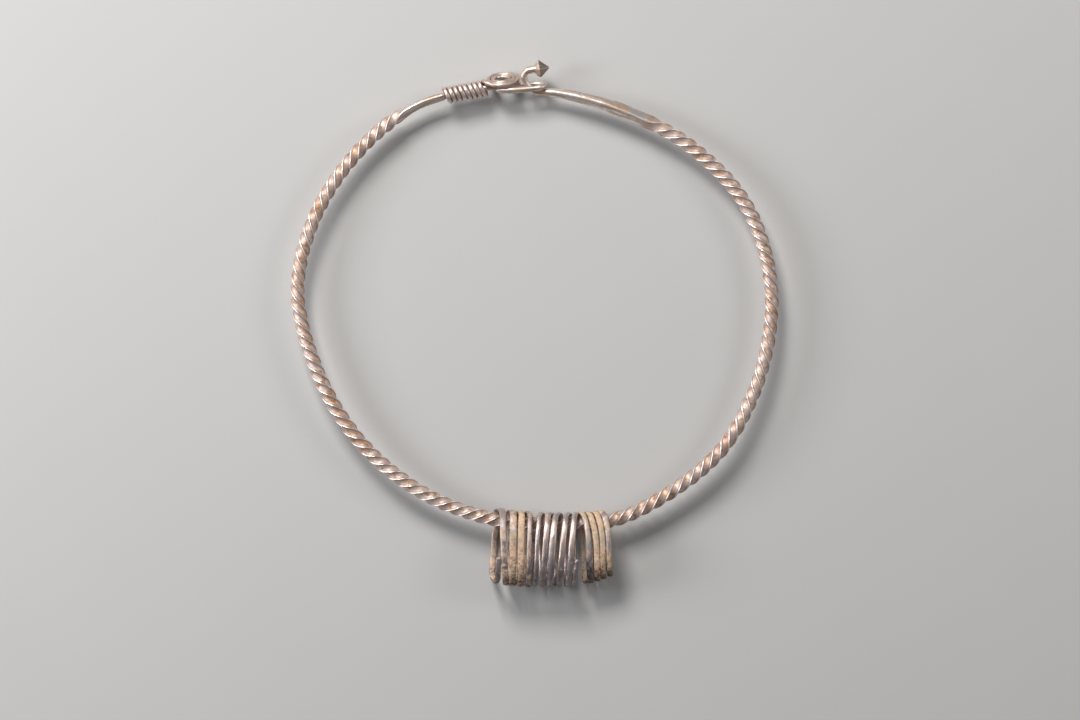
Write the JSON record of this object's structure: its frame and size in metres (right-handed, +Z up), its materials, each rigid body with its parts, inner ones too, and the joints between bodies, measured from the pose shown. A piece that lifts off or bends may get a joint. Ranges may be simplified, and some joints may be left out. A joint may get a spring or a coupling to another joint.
{
  "type": "neck ring",
  "caption": "Torc of one twisted silver rod, closed by a knobbed hook in a hairpin loop, with a wire-bound spiral eyelet and loose spirals of flattened wire strung on the rod.",
  "frame": {"origin": "middle of the bounding box's underside, on the surface the torc lies on", "axes": "+Y from the wire spirals to the clasp, +Z up through the lying ring, +X to the right of someone who looks down on it with the clasp away from them"},
  "size_m": [0.1614, 0.1736, 0.0167],
  "materials": {
    "torc_rod": "worn silver with warm tan tarnish in the grooves",
    "binding_wire": "worn silver with tan tarnish between the turns",
    "wire_spiral_left": "dull silver with sandy crust",
    "wire_spiral_middle": "smooth grey silver with sandy crust at the foot",
    "wire_spiral_right": "grey and olive silver with sandy crust"
  },
  "bodies": {
    "root": {"torc_rod": "torc_rod", "binding_wire": "binding_wire", "wire_spiral_left": "wire_spiral_left", "wire_spiral_middle": "wire_spiral_middle", "wire_spiral_right": "wire_spiral_right"}
  },
  "joints": []
}
